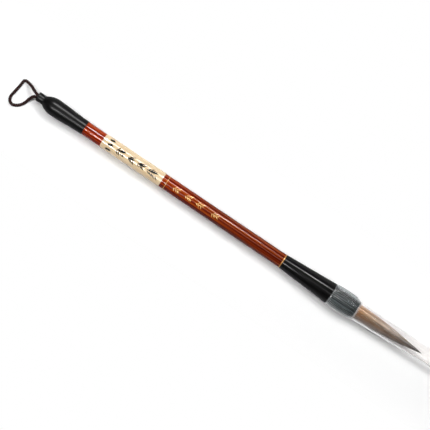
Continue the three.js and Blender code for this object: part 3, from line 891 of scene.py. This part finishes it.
class Paint:
    """Thin strokes that lie on a turned surface, gathered in one mesh."""

    def __init__(self, surface):
        self.surface = surface
        self.points = []
        self.faces = []

    def stroke(self, x, across, heading, length, width, bend=0, fullness=0.8):
        """A pointed stroke. across is the distance round the surface from its top, towards +Y."""
        start, steps, rows = len(self.points), 10, (-1, 0, 1)
        for thickness in PAINT_LAYERS:
            for i in range(steps + 1):
                share = i / steps
                turn = heading + bend * share
                half = width * STROKE_TIP
                if 0 < i < steps:
                    half = width / 2 * math.sin(math.pi * share**fullness)
                for row in rows:
                    px = x + share * length * math.cos(turn) - row * half * math.sin(turn)
                    py = across + share * length * math.sin(turn) + row * half * math.cos(turn)
                    radius = self.surface(px)
                    self.points.append(round_axis(px, radius + thickness, py / radius))

        def corner(layer, i, k):
            return start + (layer * (steps + 1) + i) * len(rows) + k

        self.faces += sheet_faces(corner, steps + 1, len(rows))


def sprig(paint, draw, x, size, leaf_length, stem_width, leaf_width):
    """A stem along the brush with leaves to both sides."""
    start = x - size / 2
    aside = draw.uniform(-STEM_ASIDE, STEM_ASIDE)
    tilt = math.radians(draw.uniform(-STEM_TILT, STEM_TILT))
    paint.stroke(start, aside, tilt, size, stem_width, STEM_BEND, fullness=1)
    count = max(FEWEST_LEAVES, round(size * LEAVES_PER_MM))
    for k in range(count):
        side = 1 if k % 2 else -1
        foot = start + size * (FIRST_LEAF + LEAF_REACH * k / count)
        angle = math.radians(side * draw.uniform(*LEAF_ANGLES))
        length = leaf_length * draw.uniform(*LEAF_LENGTHS)
        width = leaf_width * draw.uniform(*LEAF_WIDTHS)
        paint.stroke(foot, side * stem_width / 3, angle, length, width, -side * LEAF_BEND)


def ink_sprigs():
    """Leaf sprigs in ink along the top of the label, and pairs of seed marks behind them."""
    paint = Paint(label_surface)
    draw = random.Random(5)
    for place, size in INK_SPRIGS:
        sprig(paint, draw, LABEL_X + place, size, **INK_STROKES)
    for across in SEED_ACROSS:
        for offset in SEED_ALONG:
            x = LABEL_X + SEED_MARKS + offset
            tilt = math.radians(draw.uniform(-SEED_TILT, SEED_TILT))
            paint.stroke(x - SEED_FOOT, across + offset / 3, tilt, SEED_LENGTH, SEED_WIDTH)
    return finished("label_ink", paint.points, paint.faces, INK_LOOK)


def gold_sprigs():
    """Gilded leaf sprigs along the top of the shaft in front of the label."""
    paint = Paint(shaft_radius)
    draw = random.Random(11)
    for place, size in GOLD_SPRIGS:
        sprig(paint, draw, LABEL_END_X + place, size, **GOLD_STROKES)
    return finished("shaft_gilding", paint.points, paint.faces, GOLD_LOOK)


def gold_line():
    """A gilded line round the shaft in front of the label."""
    rear = LABEL_END_X + GOLD_LINE
    front = rear + GOLD_LINE_WIDTH
    inner = shaft_radius(rear) - GOLD_LINE_SUNK
    outer = shaft_radius(rear) + GOLD_LINE_RAISED
    return band("gilded_line", rear, front, inner, outer, GOLD_LINE_ROUND, GOLD_LOOK)


# ---- Ferrule and cap ----


def neck_radius(x):
    """Radius of the ferrule's neck at a distance from its shoulder."""
    span = NECK_WIDEST_AT if x < NECK_WIDEST_AT else NECK_LIP_START - NECK_WIDEST_AT
    share = (x - NECK_WIDEST_AT) / span
    return NECK_WIDEST_RADIUS - (NECK_WIDEST_RADIUS - NECK_FRONT_RADIUS) * share * share


def ferrule():
    neck = [(SHOULDER_X + x, neck_radius(x)) for x in spread(0, NECK_LIP_START, NECK_POINTS)]
    tenon_floor = RING_X + FRONT_TENON_LENGTH + SOFT_GAP
    socket_floor = MOUTH_X - SOCKET_DEPTH
    rear = rounded([
        (tenon_floor, TENON_RADIUS - SOFT_GAP),
        (tenon_floor, TENON_RADIUS + FIT),
        (FERRULE_X, TENON_RADIUS + FIT),
        (FERRULE_X, FERRULE_REAR_RADIUS, EDGE_ROUND),
        (SHOULDER_X, SHOULDER_RADIUS, SHOULDER_ROUND),
        (SHOULDER_X, NECK_FRONT_RADIUS),
    ])[:-1]
    front = rounded([
        (MOUTH_X, NECK_FRONT_RADIUS, NECK_LIP_ROUND),
        (MOUTH_X, SOCKET_RADIUS),
        (socket_floor, SOCKET_RADIUS),
        (socket_floor, TENON_RADIUS - SOFT_GAP),
    ])
    return turned("ferrule_turned", rear + neck + front, FERRULE_LOOK)


def collar_radius(x):
    """Radius of the collar's barrel at a distance from the cap's mouth, on top of a rib."""
    if x < COLLAR_WIDEST_AT:
        share = 1 - (x - MOUTH_ROUND) / (COLLAR_WIDEST_AT - MOUTH_ROUND)
        return COLLAR_RADIUS - (COLLAR_RADIUS - CAP_MOUTH_RADIUS) * share**COLLAR_REAR_CURVE
    share = (x - COLLAR_WIDEST_AT) / (NECK_LENGTH - CAP_SEAT_GAP - COLLAR_WIDEST_AT)
    fall = COLLAR_RADIUS - (TUBE_RADIUS + COLLAR_STEP)
    return COLLAR_RADIUS - fall * share**COLLAR_FRONT_CURVE


def cap_outline():
    """Outside of the cap from its mouth: barrel-shaped collar, shoulder, drafted tube, its end."""
    collar_end = NECK_LENGTH - CAP_SEAT_GAP
    mouth = [(0, CAP_MOUTH_RADIUS - MOUTH_ROUND), (MOUTH_MIDDLE, CAP_MOUTH_RADIUS - MOUTH_MIDDLE)]
    barrel = [(x, collar_radius(x)) for x in spread(MOUTH_ROUND, collar_end, COLLAR_POINTS)]
    shoulder = []
    for share in spread(0, 1, CAP_ROUND_POINTS)[1:]:
        radius = TUBE_RADIUS + COLLAR_STEP - COLLAR_STEP * ease(share)
        shoulder.append((collar_end + COLLAR_EASE_LENGTH * share, radius))
    end = []
    for share in spread(0, 1, CAP_ROUND_POINTS):
        angle = math.pi / 2 * share
        x = CAP_LENGTH - CAP_END_ROUND * (1 - math.sin(angle))
        end.append((x, TUBE_RADIUS - TUBE_DRAFT - CAP_END_ROUND * (1 - math.cos(angle))))
    return mouth + barrel + shoulder + end


def cap_bore():
    """Inside of the cap from its closed end back to its mouth."""
    step_x = NECK_LENGTH + CAP_SEAT_GAP
    tip_bore = TUBE_BORE_RADIUS - TUBE_BORE_DRAFT
    wall_x = CAP_LENGTH - CAP_END_WALL
    closed_end = rounded([
        (CAP_LENGTH, VENT_RADIUS, VENT_ROUND),
        (wall_x, VENT_RADIUS),
        (wall_x, tip_bore, BORE_END_ROUND),
        (step_x + TUBE_RADIUS - TUBE_BORE_RADIUS, TUBE_BORE_RADIUS, BORE_STEP_ROUND),
        (step_x, TUBE_BORE_RADIUS + BORE_STEP_LEAD, BORE_LEAD_ROUND),
        (step_x, NECK_FRONT_RADIUS),
    ])
    places = spread(NECK_LIP_START, NECK_WIDEST_AT, BORE_NECK_POINTS)
    along_neck = [(x, neck_radius(x) + CAP_CLEARANCE) for x in places]
    mouth = [(MOUTH_ROUND, CAP_BORE_RADIUS), (0, CAP_BORE_RADIUS + MOUTH_ROUND)]
    return closed_end + along_neck + mouth


def groove_depth(x, angle):
    """How deep the collar's outside is cut between its ribs. One rib is on top."""
    into = min(x - RIB_START, RIB_START + RIB_LENGTH - x) / RIB_RUNOUT
    wave = (1 - math.cos(RIB_COUNT * angle)) / 2
    return RIB_DEPTH * min(1, max(0, into)) * wave


def cap():
    """The clear cap: one moulding with lengthwise ribs on its collar."""
    segments = RIB_COUNT * RIB_SEGMENTS
    outline = [(SHOULDER_X + x, radius, True) for x, radius in cap_outline()]
    bore = [(SHOULDER_X + x, radius, False) for x, radius in cap_bore()]
    profile = outline + bore
    points = []
    for x, radius, outside in profile:
        for angle in circle(segments):
            depth = groove_depth(x - SHOULDER_X, angle) if outside else 0
            _, y, z = round_axis(x, radius - depth, angle)
            points.append((x, y + max(0, x - MOUTH_X) * math.tan(TUBE_LEAN), z))
    faces = ring_faces(len(profile), segments, closed=True)
    return finished("cap_moulding", points, faces, CLEAR_LOOK, sharp_above=50)


# ---- Hair ----

HAIR_START = -(ROOT_FRONT + ROOT_GRIP)
GOLDEN_TURN = 0.61803399
STRAND_JITTER = 0.01
STRAND_SIZES = (0.75, 1.15)
STRAND_CROWDING = 0.9
STRAND_TAPER = 2.2
STRAND_TAPER_FORM = 0.75
STRAND_POINT = 0.04
WANDER_TURN = 5
LOCKS = 9
LOCK_DEPTH = 0.035
LOCK_PHASE = 1.3
FILLER_POINT = 0.02
FILLER_POINT_LENGTH = 3


def bundle_radius(x):
    """Radius of the hair bundle at a distance from the ferrule's mouth."""
    behind = HAIR_RADIUS + (ROOT_RADIUS - HAIR_RADIUS) * np.clip(-x, 0, None) / ROOT_FRONT
    full = np.clip(1 - np.clip(x / HAIR_LENGTH, 0, 1) ** HAIR_FULLNESS, 0, 1)
    return np.where(x < 0, behind, HAIR_RADIUS * full**HAIR_TAPER)


def drift(x):
    """How far the bundle bends towards +Y at a distance from the ferrule's mouth."""
    return HAIR_DRIFT * (np.clip(x, 0, None) / HAIR_LENGTH) ** 2


def strands(seed, count, ends, shares, thick, steps, wander):
    """Tapered three-sided strands.

    ends and shares give the range of where a strand ends and of its place between the bundle's
    axis and its outside. wander is how far a strand strays round the bundle.
    """
    draw = np.random.default_rng(seed)
    angle = 2 * math.pi * (np.arange(count) * GOLDEN_TURN % 1)
    angle = angle + draw.normal(0, STRAND_JITTER, count)
    share = np.sqrt(draw.uniform(shares[0] ** 2, shares[1] ** 2, count))
    end = draw.uniform(*ends, count)
    size = thick * draw.uniform(*STRAND_SIZES, count)
    phase = draw.uniform(0, 2 * math.pi, count)
    along = (np.linspace(0, 1, steps) ** STRAND_CROWDING)[None, :]
    x = HAIR_START + (end[:, None] - HAIR_START) * along
    free = np.clip(x, 0, None) / HAIR_LENGTH
    taper = np.clip(1 - along**STRAND_TAPER, STRAND_POINT, 1) ** STRAND_TAPER_FORM
    radius = size[:, None] * taper
    out = np.maximum(share[:, None] * (bundle_radius(x) - radius), 0)
    turn = angle[:, None] + wander * np.sin(phase[:, None] + WANDER_TURN * free) * free
    lock = LOCK_DEPTH * np.sin(LOCKS * turn + LOCK_PHASE) * free
    centre_y = out * np.sin(turn + lock) + drift(x)
    centre_z = out * np.cos(turn + lock)
    rings = []
    for corner in circle(3):
        y = centre_y + radius * np.sin(turn + corner)
        z = AXIS_Z + centre_z + radius * np.cos(turn + corner)
        rings.append(np.stack([MOUTH_X + x, y, z], -1))
    points = np.stack(rings, 2).reshape(-1, 3)
    first = np.arange(count)[:, None] * steps * 3
    quads = []
    for s in range(steps - 1):
        for k in range(3):
            low, high = 3 * s + k, 3 * s + (k + 1) % 3
            quads.append(first + [low, high, high + 3, low + 3])
    roots = first + [0, 2, 1]
    tips = first + 3 * (steps - 1) + [0, 1, 2]
    return points, np.concatenate(quads).tolist() + np.concatenate([roots, tips]).tolist()


def filler(share, end, rings=24, segments=64):
    """The solid body of hair under the strands, from its root to a point."""
    points = []
    for x in np.linspace(HAIR_START, end, rings):
        pointed = min(1, max(FILLER_POINT, (end - x) / FILLER_POINT_LENGTH))
        radius = float(bundle_radius(x)) * share * pointed
        for angle in circle(segments):
            _, y, z = round_axis(0, radius, angle)
            points.append((MOUTH_X + x, y + drift(x), z))
    return points, ring_faces(rings, segments)


def tuft(name, look, *parts):
    """One object from parts, each given as its points and faces."""
    points, faces = [], []
    for part_points, part_faces in parts:
        start = sum(len(p) for p in points)
        points.append(part_points)
        faces += [[start + i for i in face] for face in part_faces]
    return finished(name, np.concatenate(points), faces, look, sharp_above=75)


def hair_core():
    ends = (HAIR_LENGTH - 7, HAIR_LENGTH)
    fine = strands(3, 900, ends, (0, 0.86), thick=0.11, steps=12, wander=0.25)
    return tuft("core_hair", CORE_LOOK, fine, filler(share=0.6, end=HAIR_LENGTH - 4))


def hair_mantle():
    fine = strands(8, 1700, (31.5, 35.5), (0.78, 1), thick=0.1, steps=9, wander=0.12)
    return tuft("mantle_hair", MANTLE_LOOK, fine)


# ---- Pieces on the frame ----

PIECES = [
    # piece, body, replaced node, slot
    (hanger_plug(), "brush", "hanger_plug", "black_horn"),
    (tail_bulb(), "brush", "tail_bulb", "black_horn"),
    (shaft(), "brush", "shaft", "red_wood"),
    (label(), "brush", "label_sleeve", "label_paper"),
    (ink_sprigs(), "brush", None, "label_paper"),
    (gold_sprigs(), "brush", None, "gold"),
    (gold_line(), "brush", None, "gold"),
    (gold_ring(), "brush", "gold_ring", "gold"),
    (ferrule(), "brush", "ferrule", "black_horn"),
    (hair_core(), "brush", "hair_core", "core_hair"),
    (hair_mantle(), "brush", "hair_mantle", "mantle_hair"),
    (cap(), "cap", "cap", "clear_plastic"),
]
for piece, body, replaced, slot in PIECES:
    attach(piece, body)
    if replaced:
        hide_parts(replaced)
cord()

CARRIED_LOOKS = {"cord_knot": CORD_LOOK, "root_binding": THREAD_LOOK, "rosin_plug": ROSIN_LOOK}
for node, look in CARRIED_LOOKS.items():
    for material_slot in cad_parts[node].material_slots:
        material_slot.material = look


# ---- Table, light and camera ----

# Places and sizes from here on are in metres, but for the camera's lens and sensor, and angles are
# in degrees. A lamp's brightness is its energy divided by its area and by pi.

FLOOR_RADIUS = 6
FLOOR_MIDDLE = 1
COVE_RADIUS = 0.4
COVE_STEPS = 8
WALL_HEIGHT = 1

# The table shows light and shadow up to SHADED_RADIUS and is plain white from PLAIN_RADIUS on. To
# the camera it gets plain between SHADOW_REACH and PLAIN_ASIDE beside the brush's axis.
SHADED_RADIUS = 0.35
PLAIN_RADIUS = 0.75
SHADOW_REACH = 0.014
PLAIN_ASIDE = 0.04

# name, brightness, place, size, turn
SOFT_BOXES = [
    ("soft_box_rear", 9.8, (-0.3, -0.002, 0.8), (0.32, 0.435), -34),
    ("soft_box_front", 10, (0.12, 0.38, 0.8), (0.51, 0.333), 0),
]

TUBE_DISTANCE = 0.8

# name, brightness, tilt, start and end along the brush, width
TUBES = [
    ("second_tube_rear", 90, -21, -0.34, -0.172, 0.1),
    ("second_tube", 72, -21, -0.172, -0.105, 0.1),
    ("second_tube_end", 16, -22, -0.105, -0.05, 0.1),
    ("top_tube", 6, -5, -0.04, 0.4, 0.08),
]

# The key tube draws the main line. Its levels are places along the brush and brightnesses.
KEY_TILT = 41.5
KEY_WIDTH = 0.075
KEY_START, KEY_END = -0.36, 0.4
KEY_PARTS = 19
KEY_LEVELS = [
    (-0.19, 165), (-0.17, 120), (-0.165, 54), (-0.06, 56), (-0.01, 66),
    (0.015, 118), (0.05, 168), (0.07, 57), (0.11, 70), (0.125, 19), (0.15, 24),
    (0.2, 38),
]

CAMERA_ALONG = -0.01942
CAMERA_ASIDE = 0.0002
CAMERA_HEIGHT = 0.88
CAMERA_TURN = 33.97


def white_sweep(nodes):
    """White that takes light and shadow near the brush and is plain farther out."""
    path = nodes.put("ShaderNodeLightPath").outputs
    mirrored = nodes.math("MAXIMUM", path["Is Glossy Ray"], path["Is Transmission Ray"])
    seen = nodes.math("MAXIMUM", path["Is Camera Ray"], mirrored)
    length = nodes.put("ShaderNodeVectorMath", [nodes.place()], operation="LENGTH")
    far = nodes.span(length.outputs["Value"], SHADED_RADIUS, PLAIN_RADIUS)
    _, across, _ = nodes.place_parts()
    aside = nodes.span(nodes.math("ABSOLUTE", across), SHADOW_REACH, PLAIN_ASIDE)
    plain = nodes.math("MAXIMUM", far, nodes.times(aside, path["Is Camera Ray"]))
    near_look = nodes.shader("ShaderNodeBsdfDiffuse", {"Color": (0.97, 0.97, 0.97, 1)})
    far_look = nodes.shader("ShaderNodeEmission", {"Strength": seen})
    return nodes.mix_shaders(plain, near_look, far_look)


def sweep(count=96):
    """A round table top whose rim turns up into a low wall."""
    profile = [(FLOOR_MIDDLE, 0), (FLOOR_RADIUS - COVE_RADIUS, 0)]
    for step in range(1, COVE_STEPS + 1):
        angle = math.pi / 2 * step / COVE_STEPS
        radius = FLOOR_RADIUS - COVE_RADIUS * (1 - math.sin(angle))
        profile.append((radius, COVE_RADIUS * (1 - math.cos(angle))))
    profile.append((FLOOR_RADIUS, WALL_HEIGHT))
    points = [(0, 0, 0)]
    for radius, height in profile:
        for angle in circle(count):
            points.append((radius * math.cos(angle), radius * math.sin(angle), height))
    faces = [[0, 1 + i, 1 + (i + 1) % count] for i in range(count)]
    for ring in range(len(profile) - 1):
        near, far = 1 + ring * count, 1 + (ring + 1) * count
        for i in range(count):
            j = (i + 1) % count
            faces.append([near + i, far + i, far + j, near + j])
    mesh = bpy.data.meshes.new("white_sweep")
    mesh.from_pydata(points, [], faces)
    smooth_object("white_sweep", mesh, material("white_sweep", white_sweep))


def lamp(name, brightness, place, size, turn=0, tilt=0):
    """A rectangular lamp that faces the brush.

    turn swings its long side from +X towards +Y, and tilt leans it from straight up towards +Y.
    """
    data = bpy.data.lights.new(name, "AREA")
    data.shape = "RECTANGLE"
    data.size, data.size_y = size
    data.energy = brightness * math.pi * size[0] * size[1]
    made = placed(name, data)
    made.location = place
    made.rotation_euler = (-math.radians(tilt), 0, math.radians(turn))
    return made


def strip_light(name, brightness, tilt, start_x, end_x, width):
    """A tube along the brush, which draws a bright line on what is glossy and lights nothing."""
    angle = math.radians(tilt)
    y, z = TUBE_DISTANCE * math.sin(angle), TUBE_DISTANCE * math.cos(angle)
    place = ((start_x + end_x) / 2, y, z)
    made = lamp(name, brightness, place, (end_x - start_x, width), tilt=tilt)
    made.visible_diffuse = False


def lights():
    for box in SOFT_BOXES:
        lamp(*box).visible_glossy = False
    levels = list(zip(*KEY_LEVELS))
    edges = spread(KEY_START, KEY_END, KEY_PARTS + 1)
    for k, (start, end) in enumerate(zip(edges, edges[1:])):
        level = float(np.interp((start + end) / 2, *levels))
        strip_light(f"key_tube_{k + 1}", level, KEY_TILT, start, end, KEY_WIDTH)
    for tube in TUBES:
        strip_light(*tube)
    world = bpy.data.worlds.new("studio")
    world.use_nodes = True
    background = world.node_tree.nodes["Background"]
    background.inputs["Color"].default_value = (1, 1, 1, 1)
    background.inputs["Strength"].default_value = 0.06
    scene.world = world


def camera():
    """Straight above the brush, turned so that it runs from the upper left to the lower right."""
    data = bpy.data.cameras.new("camera")
    data.sensor_width = 36
    data.lens = 126.5
    data.clip_start = 0.01
    data.clip_end = 50
    made = placed("camera", data)
    made.location = (CAMERA_ALONG, CAMERA_ASIDE, AXIS_Z * MM + CAMERA_HEIGHT)
    made.rotation_euler = (0, 0, math.radians(CAMERA_TURN))
    scene.camera = made


sweep()
lights()
camera()

scene.view_settings.view_transform = "Standard"

bpy.context.view_layer.update()
